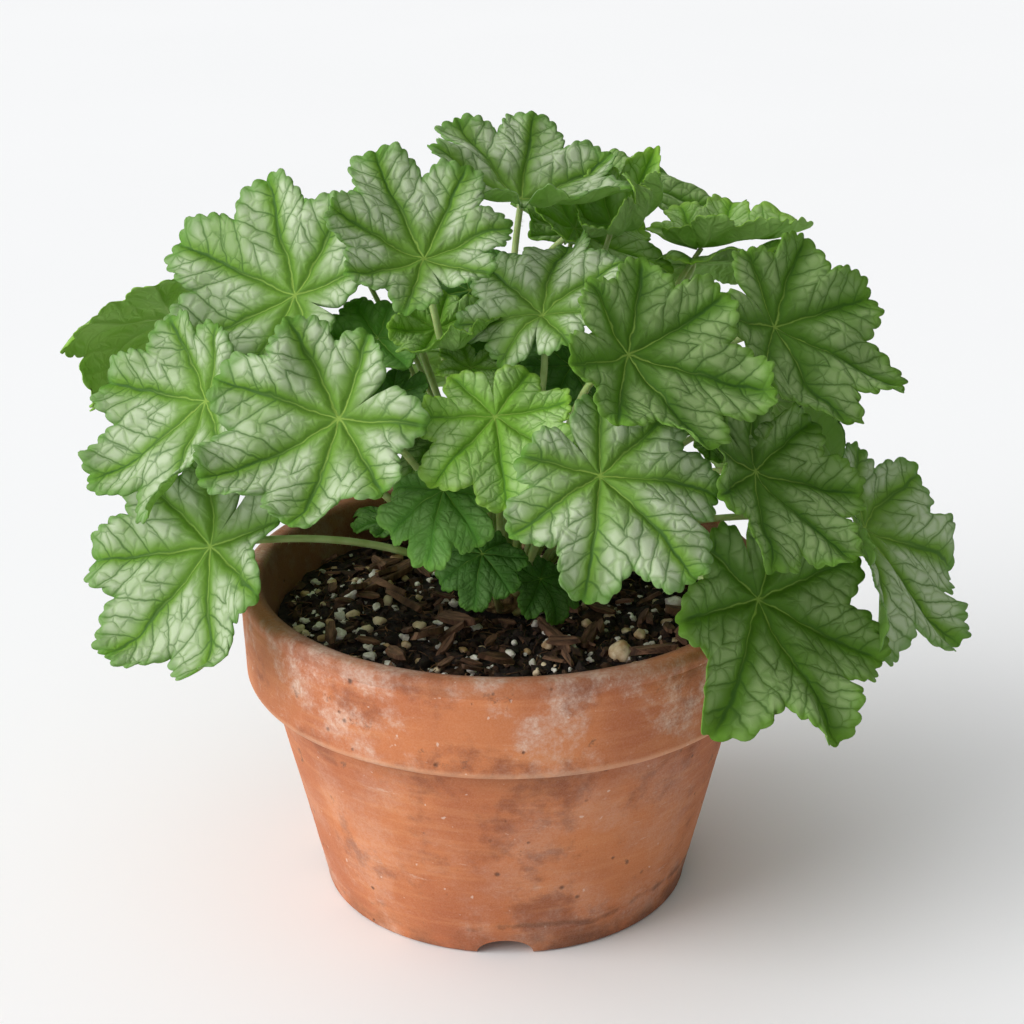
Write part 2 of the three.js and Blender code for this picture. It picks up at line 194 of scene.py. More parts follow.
# ---- materials ----
def terracotta():
    """Unglazed fired earthenware, thrown and turned: chalky orange, with lime bloom and pits."""
    material, tree, shader = finish("terracotta_earthenware", 0.82, 1.5)
    place = here(tree)
    apart = add(tree, "SeparateXYZ", {0: place})
    height = apart.outputs["Z"]
    apart_flat = add(tree, "VectorMath", {0: place, 1: (1, 1, 0)}, operation="MULTIPLY").outputs[0]
    radius = add(tree, "VectorMath", {0: apart_flat}, operation="LENGTH").outputs["Value"]
    clouds = noise_of(tree, place, 60 * MM, 5)
    colour = blend(tree, ramp(tree, clouds, 0.35, 0.68), rgb("#A85C34"), rgb("#C67744"))
    # Redder, darker firing marks, and the paler skin of the turned surface.
    marks = noise_of(tree, place, 26 * MM, 7, 0.65)
    colour = blend(tree, ramp(tree, marks, 0.5, 0.66, 0, 0.8), colour, rgb("#864526"))
    banded = add(tree, "Mapping", {"Vector": place, "Scale": (1, 1, 9)}).outputs[0]
    rings = noise_of(tree, banded, 30 * MM, 5, 0.6)
    colour = blend(tree, ramp(tree, rings, 0.46, 0.66, 0, 0.25), colour, rgb("#D08C5A"))
    # Lime bloom: white haze that water leaves, thickest on the collar and low on the wall.
    bloom = noise_of(tree, place, 34 * MM, 8, 0.72)
    collar = ramp(tree, height, COLLAR_FOOT - 10 * MM, POT_HEIGHT - 20 * MM, 0.2, 0.9)
    foot = ramp(tree, height, 40 * MM, 6 * MM, 0.0, 0.42)
    bloom = math_of(tree, "MULTIPLY", ramp(tree, bloom, 0.46, 0.64), math_of(tree, "MAXIMUM", collar, foot))
    grit = ramp(tree, noise_of(tree, place, 1.4 * MM, 3, 0.7), 0.3, 0.7, 0.35, 1.0)
    colour = blend(tree, math_of(tree, "MULTIPLY", bloom, grit), colour, rgb("#D8C2B2"))
    slanted = add(tree, "Mapping", {"Vector": place, "Rotation": (0.5, 0.7, 0), "Scale": (1, 1, 5)})
    wisps = noise_of(tree, slanted.outputs[0], 22 * MM, 7, 0.8)
    colour = blend(tree, ramp(tree, wisps, 0.6, 0.7, 0, 0.4), colour, rgb("#D6BBA6"))
    specks = ramp(tree, noise_of(tree, place, 5 * MM, 2, 0.6), 0.71, 0.75, 0, 0.5)
    colour = blend(tree, specks, colour, rgb("#DDCDBF"))
    # A pale band along the collar's lower edge, painted highlight and wear, and a darker band just under
    # the collar, painted shade beneath its overhang.
    above_edge = ramp(tree, height, COLLAR_FOOT, COLLAR_FOOT + 1 * MM)
    near_edge = ramp(tree, height, COLLAR_FOOT + 4 * MM, COLLAR_FOOT + 2 * MM)
    edge_highlight_and_wear = math_of(tree, "MULTIPLY", above_edge, near_edge)
    colour = blend(tree, math_of(tree, "MULTIPLY", edge_highlight_and_wear, 0.35), colour, rgb("#DFB08C"))
    # Darker clay just under the collar, patchy: painted shade beneath the overhang.
    risen = ramp(tree, height, COLLAR_FOOT - 14 * MM, COLLAR_FOOT - 1 * MM, 0, 0.6)
    under_collar_shade = math_of(tree, "MULTIPLY", risen, ramp(tree, height, COLLAR_FOOT + 1 * MM, COLLAR_FOOT))
    under_collar_shade = math_of(tree, "MULTIPLY", under_collar_shade, ramp(tree, clouds, 0.4, 0.65, 0.2, 1.0))
    colour = blend(tree, under_collar_shade, colour, rgb("#7F4A2E"))
    # Damp, darker clay at the lip and down the inside, and the dirty line round the foot.
    damp = ramp(tree, height, POT_HEIGHT - 8 * MM, POT_HEIGHT - 1 * MM, 0, 0.35)
    slope = (RIM_RADIUS - COLLAR_STEP - FOOT_RADIUS) / COLLAR_FOOT
    wall_middle = math_of(tree, "ADD", math_of(tree, "MULTIPLY", height, slope), FOOT_RADIUS - WALL / 2)
    inside = ramp(tree, math_of(tree, "SUBTRACT", radius, wall_middle), 2 * MM, -2 * MM, 0, 0.75)
    above_floor = ramp(tree, height, 0.5 * FLOOR_THICKNESS, 0.9 * FLOOR_THICKNESS)
    inside = math_of(tree, "MULTIPLY", inside, above_floor)
    near_foot = ramp(tree, height, 14 * MM, 1 * MM, 0.0, 0.8)
    dirt = math_of(tree, "MULTIPLY", near_foot, ramp(tree, marks, 0.35, 0.6))
    wander = math_of(tree, "MULTIPLY", noise_of(tree, place, 40 * MM, 3), 16 * MM)
    tide_height = math_of(tree, "ADD", wander, 4 * MM)
    from_tide = math_of(tree, "ABSOLUTE", math_of(tree, "SUBTRACT", height, tide_height))
    tide = ramp(tree, from_tide, 0.3 * MM, 2.0 * MM, 0.7, 0.0)
    tide = math_of(tree, "MULTIPLY", tide, ramp(tree, marks, 0.45, 0.6))
    stain = math_of(tree, "MAXIMUM", damp, dirt)
    stain = math_of(tree, "MAXIMUM", stain, math_of(tree, "MAXIMUM", inside, tide))
    colour = blend(tree, stain, colour, rgb("#6E412A"))
    scuffs = ramp(tree, noise_of(tree, place, 15 * MM, 7, 0.75), 0.61, 0.70, 0, 0.75)
    colour = blend(tree, scuffs, colour, rgb("#59392A"))
    # Pits where grit has fallen out of the clay, up to three millimetres across, coloured near-black inside
    # as painted shade.
    cells = add(tree, "TexVoronoi", {"Vector": place, "Scale": 1 / (8 * MM)})
    rare = add(tree, "TexWhiteNoise", {"Vector": cells.outputs["Position"]}, noise_dimensions="3D")
    seldom = math_of(tree, "GREATER_THAN", rare.outputs["Value"], 0.5)
    pit_size = math_of(tree, "MULTIPLY", rare.outputs["Value"], 0.2)
    pit = math_of(tree, "MULTIPLY", ramp(tree, cells.outputs["Distance"], pit_size, 0.02), seldom)
    colour = blend(tree, math_of(tree, "MULTIPLY", pit, 0.8), colour, rgb("#38221A"))
    grain = noise_of(tree, place, 0.6 * MM, 3, 0.7)
    colour = blend(tree, ramp(tree, grain, 0.3, 0.75, 0, 0.10), colour, rgb("#F0D0B4"))
    paint(tree, shader, colour)
    turned = add(tree, "Mapping", {"Vector": place, "Scale": (1, 1, 30)}).outputs[0]
    lines = noise_of(tree, turned, 26 * MM, 3)
    fine = bump(tree, shader, lines, 0.5 * MM, 0.35)
    fine = bump(tree, shader, grain, 0.25 * MM, 0.5, fine)
    bump(tree, shader, math_of(tree, "SUBTRACT", 1.0, pit), 0.6 * MM, 0.8, fine)
    return material


def potting_mix():
    """Damp peat and compost: nearly black, crumbly, with a few browner crumbs."""
    material, tree, shader = finish("damp_peat_compost", 0.9)
    place = here(tree)
    lumps = noise_of(tree, place, 3.2 * MM, 6, 0.7)
    colour = blend(tree, ramp(tree, lumps, 0.35, 0.72), rgb("#0F0A08"), rgb("#33231A"))
    fibres = noise_of(tree, place, 1.1 * MM, 3, 0.7)
    colour = blend(tree, ramp(tree, fibres, 0.62, 0.74, 0, 0.6), colour, rgb("#7A5A40"))
    paint(tree, shader, colour)
    coarse = bump(tree, shader, lumps, 1.6 * MM, 0.9)
    bump(tree, shader, fibres, 0.5 * MM, 0.7, coarse)
    return material


def crumb():
    """Loose crumbs of the same compost, dried a little browner."""
    material, tree, shader = finish("dry_compost_crumb", 0.92)
    place = here(tree)
    tone = noise_of(tree, place, 7 * MM, 4, 0.7)
    colour = blend(tree, ramp(tree, tone, 0.35, 0.68), rgb("#130D09"), rgb("#5A3F2C"))
    paint(tree, shader, colour)
    bump(tree, shader, noise_of(tree, place, 0.9 * MM, 4, 0.7), 0.5 * MM, 0.9)
    return material


def perlite():
    """Expanded volcanic glass: chalk-white, matt and finely pored."""
    material, tree, shader = finish("expanded_perlite", 0.75, 1.5)
    place = here(tree)
    tone = noise_of(tree, place, 2.5 * MM, 4, 0.7)
    colour = blend(tree, ramp(tree, tone, 0.35, 0.7), rgb("#D6CDBE"), rgb("#FAF7F0"))
    paint(tree, shader, colour)
    bump(tree, shader, noise_of(tree, place, 0.5 * MM, 3, 0.7), 0.25 * MM, 0.9)
    return material


def pebble():
    """Water-worn limestone grit: cream to tan, with darker stains."""
    material, tree, shader = finish("limestone_grit", 0.6, 1.55)
    place = here(tree)
    tone = noise_of(tree, place, 9 * MM, 5, 0.6)
    colour = blend(tree, ramp(tree, tone, 0.38, 0.62), rgb("#B08B5F"), rgb("#E2CFAE"))
    stain = noise_of(tree, place, 2 * MM, 5, 0.7)
    colour = blend(tree, ramp(tree, stain, 0.55, 0.72, 0, 0.6), colour, rgb("#8B6A4A"))
    paint(tree, shader, colour)
    bump(tree, shader, stain, 0.3 * MM, 0.6)
    return material


def pine_bark():
    """Torn pine bark: reddish brown, split along its grain, darker in the splits."""
    material, tree, shader = finish("torn_pine_bark", 0.8)
    flat = add(tree, "UVMap", uv_map="grain").outputs[0]
    stretched = add(tree, "Mapping", {"Vector": flat, "Scale": (1, 7, 7)}).outputs[0]
    streaks = noise_of(tree, stretched, 9 * MM, 6, 0.7)
    colour = blend(tree, ramp(tree, streaks, 0.32, 0.68), rgb("#3A261B"), rgb("#936B50"))
    tone = noise_of(tree, here(tree), 14 * MM, 3)
    colour = blend(tree, ramp(tree, tone, 0.4, 0.65, 0, 0.6), colour, rgb("#49301F"))
    paint(tree, shader, colour)
    bump(tree, shader, streaks, 1.0 * MM, 0.9)
    return material


def root_fibre():
    """Dead roots and coir in the compost: thin, dull brown."""
    material, tree, shader = finish("coir_and_root_fibre", 0.85)
    tone = noise_of(tree, here(tree), 6 * MM, 3)
    paint(tree, shader, blend(tree, ramp(tree, tone, 0.35, 0.65), rgb("#3B2719"), rgb("#8A6545")))
    return material


def crown_wood():
    """The crown's old woody base, scaly with dead leaf sheaths."""
    material, tree, shader = finish("crown_wood_and_sheaths", 0.8)
    place = here(tree)
    upright = add(tree, "Mapping", {"Vector": place, "Scale": (1, 1, 0.35)}).outputs[0]
    scales = noise_of(tree, upright, 3 * MM, 5, 0.7)
    colour = blend(tree, ramp(tree, scales, 0.35, 0.65), rgb("#3A2618"), rgb("#8B7044"))
    paint(tree, shader, colour)
    bump(tree, shader, scales, 1.2 * MM, 0.9)
    return material


def leaf_stalk():
    """A living leaf stalk: pale green, juicy, finely ribbed, brown and sheathed at its foot."""
    sockets = {"Subsurface Weight": 0.15, "Subsurface Scale": 1.5 * MM, "Specular IOR Level": 0.4}
    material, tree, shader = finish("heuchera_leaf_stalk", 0.5, 1.42, **sockets)
    place = here(tree)
    height = add(tree, "SeparateXYZ", {0: place}).outputs["Z"]
    tone = noise_of(tree, place, 12 * MM, 3)
    colour = blend(tree, ramp(tree, tone, 0.35, 0.65), rgb("#8FA658"), rgb("#B4C683"))
    foot = ramp(tree, height, SOIL_HIGH.z + 22 * MM, SOIL_HIGH.z + 6 * MM, 0, 0.75)
    colour = blend(tree, foot, colour, rgb("#6E5A34"))
    paint(tree, shader, colour)
    bump(tree, shader, noise_of(tree, place, 0.8 * MM, 2), 0.2 * MM, 0.5)
    return material


def vein_pattern(tree):
    """The leaf's veins from its flat map: how creased, how near a main rib, and how near the edge."""
    flat = add(tree, "UVMap", uv_map="flat").outputs[0]
    centred = add(tree, "VectorMath", {0: flat, 1: (0.5, 0.5, 0)}, operation="SUBTRACT").outputs[0]
    spread = add(tree, "VectorMath", {0: centred, "Scale": 1 / FLAT_SPREAD}, operation="SCALE").outputs[0]
    seed = add(tree, "Attribute", attribute_name="seed").outputs["Fac"]
    lift = add(tree, "CombineXYZ", {2: seed}).outputs[0]
    own = add(tree, "VectorMath", {0: spread, 1: lift}).outputs[0]
    wobble = add(tree, "TexNoise", {"Vector": own, "Scale": 6.5, "Detail": 3.0}).outputs["Color"]
    wobble = add(tree, "VectorMath", {0: wobble, 1: (0.5, 0.5, 0.5)}, operation="SUBTRACT").outputs[0]
    wobble = add(tree, "VectorMath", {0: wobble, 1: (0.075, 0.075, 0)}, operation="MULTIPLY").outputs[0]
    moved = add(tree, "VectorMath", {0: spread, 1: wobble}).outputs[0]
    x, y, _ = add(tree, "SeparateXYZ", {0: moved}).outputs
    turn = math_of(tree, "ARCTAN2", y, x)
    lobe = math_of(tree, "ROUND", math_of(tree, "DIVIDE", turn, VEIN_STEP))
    lobe = math_of(tree, "MAXIMUM", math_of(tree, "MINIMUM", lobe, 3.0), -3.0)
    off = math_of(tree, "SUBTRACT", turn, math_of(tree, "MULTIPLY", lobe, VEIN_STEP))
    reach = add(tree, "VectorMath", {0: moved}, operation="LENGTH").outputs["Value"]
    aside = math_of(tree, "ABSOLUTE", math_of(tree, "MULTIPLY", reach, math_of(tree, "SINE", off)))
    along = math_of(tree, "MULTIPLY", reach, math_of(tree, "COSINE", off))
    # The main rib narrows towards the lobe's tip, and so does the dark flank beside it.
    taper = ramp(tree, reach, 0.0, 1.1, 1.0, 0.3)
    by_rib = math_of(tree, "DIVIDE", aside, taper)
    rib = ramp(tree, by_rib, 0.002, 0.010, 1.0, 0.0)
    rib = math_of(tree, "MULTIPLY", rib, ramp(tree, reach, 0.1, 0.7, 1.0, 0.0))
    trough = ramp(tree, by_rib, 0.0, 0.075, 1.0, 0.0)
    step = math_of(tree, "SUBTRACT", along, math_of(tree, "MULTIPLY", aside, SIDE_SLANT))
    step = math_of(tree, "DIVIDE", step, SIDE_SPACING)
    beside = math_of(tree, "ABSOLUTE", math_of(tree, "SUBTRACT", step, math_of(tree, "ROUND", step)))
    cells = add(tree, "VectorMath", {0: moved, 1: lift}).outputs[0]
    net = add(tree, "TexVoronoi", {"Vector": cells, "Scale": 9.5}, feature="DISTANCE_TO_EDGE")
    net = net.outputs["Distance"]
    clouds = add(tree, "TexNoise", {"Vector": own, "Scale": 2.4, "Detail": 3.0}).outputs["Fac"]
    patches = add(tree, "TexNoise", {"Vector": own, "Scale": 9.0}).outputs["Fac"]
    broken = ramp(tree, patches, 0.38, 0.62, 0.15, 1.0)
    # Thin dark lines: the main ribs' far ends, the side veins, and the finer net between them.
    outer = ramp(tree, reach, 0.12, 0.5)
    main_line = ramp(tree, by_rib, 0.008, 0.04, 1.0, 0.0)
    main_line = math_of(tree, "MULTIPLY", main_line, ramp(tree, reach, 0.1, 0.6, 0.45, 1.0))
    side_line = math_of(tree, "MULTIPLY", ramp(tree, beside, 0.01, 0.085, 0.85, 0.0), outer)
    net_line = ramp(tree, net, 0.005, 0.06, 0.65, 0.0)
    net_line = math_of(tree, "MULTIPLY", net_line, math_of(tree, "MULTIPLY", broken, outer))
    line = math_of(tree, "MAXIMUM", main_line, math_of(tree, "MAXIMUM", side_line, net_line))
    # The quilted relief: deepest along the ribs, then the side veins, then the net.
    side_dip = ramp(tree, beside, 0.0, 0.3, 0.75, 0.0)
    net_dip = ramp(tree, net, 0.0, 0.22, 0.55, 0.0)
    crease = math_of(tree, "MAXIMUM", trough, math_of(tree, "MAXIMUM", side_dip, net_dip))
    edge = add(tree, "Attribute", attribute_name="edge").outputs["Fac"]
    between = ramp(tree, aside, 0.015, 0.13)
    return SimpleNamespace(line=line, crease=crease, rib=rib, edge=edge, clouds=clouds,
                           reach=reach, between=between)


def thin_leaf(tree, shader, glow, share):
    """Lets some of the light that falls on one face out of the other, in the glow colour."""
    through = add(tree, "BsdfTranslucent", {"Color": glow})
    both = add(tree, "MixShader", {0: share, 1: shader.outputs[0], 2: through.outputs[0]})
    output = tree.nodes["Material Output"]
    tree.links.new(both.outputs[0], output.inputs["Surface"])


def leaf_face(name, silver, field, line, margin, glow, silvering=1.0, lining=0.8):
    """A leaf's upper skin: green with silvery clouds between its dark veins, quilted, softly glossy."""
    material, tree, shader = finish(name, 0.6, 1.45, **{"Specular IOR Level": 0.22})
    veins = vein_pattern(tree)
    cloud = ramp(tree, veins.clouds, 0.3, 0.52, 0.4, 1.0)
    cloud = math_of(tree, "MULTIPLY", cloud, ramp(tree, veins.reach, 0.06, 0.4, 0.3, 1.0))
    cloud = math_of(tree, "MULTIPLY", cloud, math_of(tree, "MULTIPLY", veins.between, silvering))
    dip = math_of(tree, "SUBTRACT", 1.0, math_of(tree, "MULTIPLY", veins.crease, 0.65))
    colour = blend(tree, math_of(tree, "MULTIPLY", cloud, dip), rgb(field), rgb(silver))
    colour = blend(tree, math_of(tree, "MULTIPLY", veins.line, lining), colour, rgb(line))
    colour = blend(tree, ramp(tree, veins.edge, 0.88, 0.985, 0, 0.7), colour, rgb(margin))
    colour = blend(tree, math_of(tree, "MULTIPLY", veins.rib, 0.7), colour, rgb("#9DBB52"))
    paint(tree, shader, colour)
    quilt = math_of(tree, "SUBTRACT", 1.0, veins.crease)
    soft = bump(tree, shader, quilt, 0.75 * MM, 0.6)
    pores = noise_of(tree, here(tree), 0.5 * MM, 2)
    bump(tree, shader, pores, 0.12 * MM, 0.5, soft)
    thin_leaf(tree, shader, rgb(glow), 0.26)
    return material


def leaf_underside():
    """A leaf's underside: matt, paler, with its ribs and veins standing proud."""
    material, tree, shader = finish("heuchera_leaf_underside", 0.65, 1.45, **{"Specular IOR Level": 0.25})
    veins = vein_pattern(tree)
    colour = blend(tree, ramp(tree, veins.clouds, 0.35, 0.65), rgb("#8DBB58"), rgb("#AACF7C"))
    colour = blend(tree, math_of(tree, "MULTIPLY", veins.line, 0.4), colour, rgb("#6C9A40"))
    colour = blend(tree, veins.rib, colour, rgb("#BDD48C"))
    paint(tree, shader, colour)
    bump(tree, shader, veins.crease, 0.9 * MM, 0.8)
    thin_leaf(tree, shader, rgb("#B0D468"), 0.45)
    return material


MATERIALS = {
    "pot": terracotta(),
    "soil": potting_mix(),
    "crumb": crumb(),
    "perlite": perlite(),
    "pebble": pebble(),
    "bark": pine_bark(),
    "fibre": root_fibre(),
    "crown": crown_wood(),
    "stalk": leaf_stalk(),
    "under": leaf_underside(),
    "silver": leaf_face("heuchera_leaf_silver", "#C4D2B0", "#6E9734", "#2B5226", "#5F9034", "#9CC43A"),
    "green": leaf_face("heuchera_leaf_green", "#A8C084", "#527C22", "#25491A", "#64902A", "#94BE2C", 0.75),
    # The bright skin is a paler copy of the leaf's skin: young leaves' own colour, and painted light on
    # leaves that look lit.
    "bright": leaf_face("heuchera_leaf_young_and_painted_light", "#BCD698", "#78AA34", "#3F7024", "#8AB83C", "#A8D034", 0.75),
    # The dark skin is a darker, less silvered copy of the leaf's skin: painted shade for leaves low or deep
    # in the crown.
    "dark": leaf_face("heuchera_leaf_painted_shade", "#8AAA70", "#437228", "#264C1E", "#55862F", "#80B030",
                      0.3, 0.4),
    "plain": leaf_face("heuchera_leaf_plain", "#9CBC7C", "#558A30", "#34622A", "#6A9C3C", "#8CBC34",
                       0.4, 0.4),
}


# ---- piece helpers ----
def deselect():
    bpy.ops.object.select_all(action="DESELECT")


def only(piece):
    deselect()
    piece.select_set(True)
    bpy.context.view_layer.objects.active = piece


def apply_all(piece):
    only(piece)
    for modifier in list(piece.modifiers):
        bpy.ops.object.modifier_apply(modifier=modifier.name)


def settle(piece):
    """Puts a piece's place into its mesh, so that the object sits at the origin."""
    only(piece)
    bpy.ops.object.transform_apply(location=True, rotation=True, scale=True)


def edit(piece, *steps):
    """Runs edit-mode steps on the whole of a piece."""
    only(piece)
    bpy.ops.object.mode_set(mode="EDIT")
    bpy.ops.mesh.select_all(action="SELECT")
    for step in steps:
        step()
    bpy.ops.object.mode_set(mode="OBJECT")


def weld():
    bpy.ops.mesh.remove_doubles(threshold=WELD)


def outwards():
    bpy.ops.mesh.normals_make_consistent(inside=False)


def new_piece(name, corners, faces, *materials):
    mesh = bpy.data.meshes.new(name)
    mesh.from_pydata([tuple(c) for c in corners], [], faces)
    piece = bpy.data.objects.new(name, mesh)
    bpy.context.collection.objects.link(piece)
    for material in materials:
        mesh.materials.append(material)
    return piece


def give(piece, name, slot, material, *nodes):
    """Names a finished piece, gives it its finish and lets it ride with the plant."""
    piece.name = name
    piece.data.name = name
    if material is not None:
        piece.data.materials.clear()
        piece.data.materials.append(material)
    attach(piece, "root")
    if nodes:
        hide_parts(*nodes)


def smooth(piece, degrees=None):
    only(piece)
    if degrees is None:
        bpy.ops.object.shade_smooth()
    else:
        bpy.ops.object.shade_smooth_by_angle(angle=math.radians(degrees))


def corners_of(mesh):
    flat = np.empty(len(mesh.vertices) * 3)
    mesh.vertices.foreach_get("co", flat)
    return flat.reshape(-1, 3)


def set_corners(mesh, places):
    mesh.vertices.foreach_set("co", np.ascontiguousarray(places, dtype=np.float64).ravel())
    mesh.update()


# ---- pot ----
def arc(centre, radius, start, end, steps):
    """Points of an arc in the profile's plane, from one angle to another in degrees."""
    turns = [math.radians(start + (end - start) * i / steps) for i in range(steps + 1)]
    return [(centre[0] + radius * math.cos(t), centre[1] + radius * math.sin(t)) for t in turns]


def straight(first, last, spacing=2.5 * MM):
    """Points between two corners of the profile, evenly apart, without the corners themselves."""
    length = math.hypot(last[0] - first[0], last[1] - first[1])
    count = max(1, round(length / spacing))
    shares = [i / count for i in range(1, count)]
    return [(first[0] + (last[0] - first[0]) * s, first[1] + (last[1] - first[1]) * s) for s in shares]


def pot_profile():
    body_top = RIM_RADIUS - COLLAR_STEP
    slope = (body_top - FOOT_RADIUS) / COLLAR_FOOT
    inner = FOOT_RADIUS - WALL
    foot_round = 1.6 * MM
    groove_z = POT_HEIGHT - GROOVE_BELOW_LIP
    rounded = EDGE_ROUND
    stretches = [
        [(0, 0)],
        arc((FOOT_RADIUS - foot_round, foot_round), foot_round, -90, 10, 5),
        [(body_top - 0.3 * MM, COLLAR_FOOT - 1.5 * MM), (body_top + 1.2 * MM, COLLAR_FOOT - 0.1 * MM)],
        arc((RIM_RADIUS - COLLAR_TAPER - rounded, COLLAR_FOOT + rounded), rounded, -90, 0, 7),
        [(RIM_RADIUS - 0.2 * MM, groove_z - 1.1 * MM), (RIM_RADIUS - GROOVE_DEPTH, groove_z)],
        [(RIM_RADIUS - 0.1 * MM, groove_z + 1.1 * MM)],
        arc((RIM_RADIUS - rounded, POT_HEIGHT - rounded), rounded, 0, 90, 7),
        arc((inner + slope * POT_HEIGHT + rounded, POT_HEIGHT - rounded), rounded, 90, 180, 6),
        [(inner + slope * (FLOOR_THICKNESS + 3 * MM), FLOOR_THICKNESS + 3 * MM)],
        [(inner - 4 * MM, FLOOR_THICKNESS)],
        [(0, FLOOR_THICKNESS)],
    ]
    points = []
    for stretch in stretches:
        if points:
            points += straight(points[-1], stretch[0])
        points += stretch
    return points


def cutter(kind, **sizes):
    deselect()
    bpy.ops.mesh.primitive_cylinder_add(**sizes)
    tool = bpy.context.object
    tool.name = kind
    return tool


def cut(piece, tool):
    settle(tool)
    only(piece)
    boolean = piece.modifiers.new("cut", "BOOLEAN")
    boolean.object = tool
    boolean.operation = "DIFFERENCE"
    boolean.solver = "EXACT"
    apply_all(piece)
    bpy.data.objects.remove(tool)


def hand_turned(corners):
    """The slight unevenness of a hand-finished pot, in metres."""
    wander = 0.35 * MM
    moved = corners.copy()
    for i, (x, y, z) in enumerate(corners):
        radius = math.hypot(x, y)
        if radius < 0.3 * FOOT_RADIUS or z < 2 * MM:
            continue
        push = wander * noise.noise(Vector((x, y, z)) / 0.035)
        push += 0.35 * wander * noise.noise(Vector((x * 2, y * 2, z * 9)) / 0.03)
        moved[i, 0] += push * x / radius
        moved[i, 1] += push * y / radius
    return moved


def make_pot():
    points = pot_profile()
    deselect()
    mesh = bpy.data.meshes.new("pot")
    edges = [(i, i + 1) for i in range(len(points) - 1)]
    mesh.from_pydata([(r, 0, z) for r, z in points], edges, [])
    pot = bpy.data.objects.new("pot", mesh)
    bpy.context.collection.objects.link(pot)
    screw = pot.modifiers.new("turn", "SCREW")
    screw.steps = POT_FACETS
    screw.render_steps = POT_FACETS
    screw.use_merge_vertices = True
    screw.merge_threshold = WELD
    apply_all(pot)
    edit(pot, weld, outwards)
    set_corners(pot.data, hand_turned(corners_of(pot.data)))
    for i in range(NOTCH_COUNT):
        turn = math.radians(-90 + 360 * i / NOTCH_COUNT)
        out = Vector((math.cos(turn), math.sin(turn), 0))
        inner_end = DRAIN_CENTRE - DRAIN_RADIUS
        outer_end = RIM_RADIUS
        notch = cutter("notch", vertices=48, radius=NOTCH_WIDTH / 2, depth=outer_end - inner_end)
        notch.scale = (NOTCH_HEIGHT / (NOTCH_WIDTH / 2), 1, 1)
        notch.rotation_euler = (0, math.pi / 2, turn)
        notch.location = out * (outer_end + inner_end) / 2
        cut(pot, notch)
        drain = cutter("drain", vertices=32, radius=DRAIN_RADIUS, depth=4 * FLOOR_THICKNESS)
        drain.location = out * DRAIN_CENTRE
        cut(pot, drain)
    smooth(pot, 40)
    give(pot, "terracotta_pot", "terracotta", MATERIALS["pot"], "pot")


# ---- soil ----
def soil_height(x, y):
    """The soil's surface, rough from the finger-pressed lumps down to its crumbs."""
    radius = math.hypot(x, y)
    level = SOIL_HIGH.z - SOIL_CROWNING * (radius / SOIL_RADIUS) ** 2
    lumps = 1.7 * MM * noise.noise(Vector((x, y, 0.3)) / 0.016)
    crumbs = 1.0 * MM * noise.noise(Vector((x, y, 0.7)) / 0.0045)
    grains = 0.5 * MM * noise.noise(Vector((x, y, 1.1)) / 0.0018)
    return level - 0.5 * MM + lumps + crumbs + grains


def make_soil():
    deselect()
    bpy.ops.mesh.primitive_grid_add(x_subdivisions=220, y_subdivisions=70, size=1)
    soil = bpy.context.object
    corners = corners_of(soil.data)
    turn = (0.5 - corners[:, 0]) * 2 * math.pi
    share = corners[:, 1] + 0.5
    # The first part of the grid's rise is the top, and the rest goes down the side and under.
    top_share = 0.86
    side = share > top_share
    radius = SOIL_RADIUS * np.where(side, 1.0, share / top_share)
    x, y = radius * np.cos(turn), radius * np.sin(turn)
    z = np.array([soil_height(a, b) for a, b in zip(x, y)])
    down = np.clip((share - top_share) / (1 - top_share), 0, 1)
    low_radius = soil_foot_radius()
    narrowed = SOIL_RADIUS + (low_radius - SOIL_RADIUS) * down
    x = np.where(side, narrowed * np.cos(turn), x)
    y = np.where(side, narrowed * np.sin(turn), y)
    z = np.where(side, z + (SOIL_LOW.z - z) * down, z)
    set_corners(soil.data, np.stack([x, y, z], axis=1))
    edit(soil, weld)
    edit(soil, close_holes, outwards)
    smooth(soil, 70)
    give(soil, "potting_soil", "potting_mix", MATERIALS["soil"], "soil")


def close_holes():
    bpy.ops.mesh.select_all(action="DESELECT")
    bpy.ops.mesh.select_non_manifold()
    bpy.ops.mesh.edge_face_add()
    bpy.ops.mesh.select_all(action="SELECT")


def soil_foot_radius():
    """The soil's radius at the pot's floor, from its CAD solid."""
    corners = corners_of(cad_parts["soil"].data)
    low = corners[corners[:, 2] < SOIL_LOW.z + 1 * MM]
    return float(np.hypot(low[:, 0], low[:, 1]).max())


# ---- scattered pieces ----
def lump_shape(subdivisions, roughness, seed):
    """A ball about one unit across, knocked out of round: its corners and faces."""
    deselect()
    bpy.ops.mesh.primitive_ico_sphere_add(subdivisions=subdivisions, radius=0.5)
    ball = bpy.context.object
    corners = corners_of(ball.data)
    for i, corner in enumerate(corners):
        push = noise.noise(Vector(corner) * 2.2 + Vector((seed * 7.1, 0, 0)))
        corners[i] = corner * (1 + roughness * push)
    faces = [tuple(face.vertices) for face in ball.data.polygons]
    bpy.data.objects.remove(ball)
    return corners, faces


def chip_shape(seed):
    """A flat splinter one unit long, with torn ends: its corners and faces."""
    draw = np.random.default_rng(seed)
    deselect()
    bpy.ops.mesh.primitive_cylinder_add(vertices=7, radius=0.5, depth=0.16)
    chip = bpy.context.object
    corners = corners_of(chip.data)
    corners[:, 1] *= 0.36
    corners[:, :2] *= 1 + draw.uniform(-0.25, 0.25, (len(corners), 1))
    corners[:, 2] += draw.uniform(-0.03, 0.03, len(corners))
    faces = [tuple(face.vertices) for face in chip.data.polygons]
    bpy.data.objects.remove(chip)
    return corners, faces


def strewn(count, draw, inner, outer):
    """Places on the soil, spread evenly between two radii."""
    radius = np.sqrt(draw.uniform(inner ** 2, outer ** 2, count))
    turn = draw.uniform(0, 2 * math.pi, count)
    return list(zip(radius * np.cos(turn), radius * np.sin(turn)))


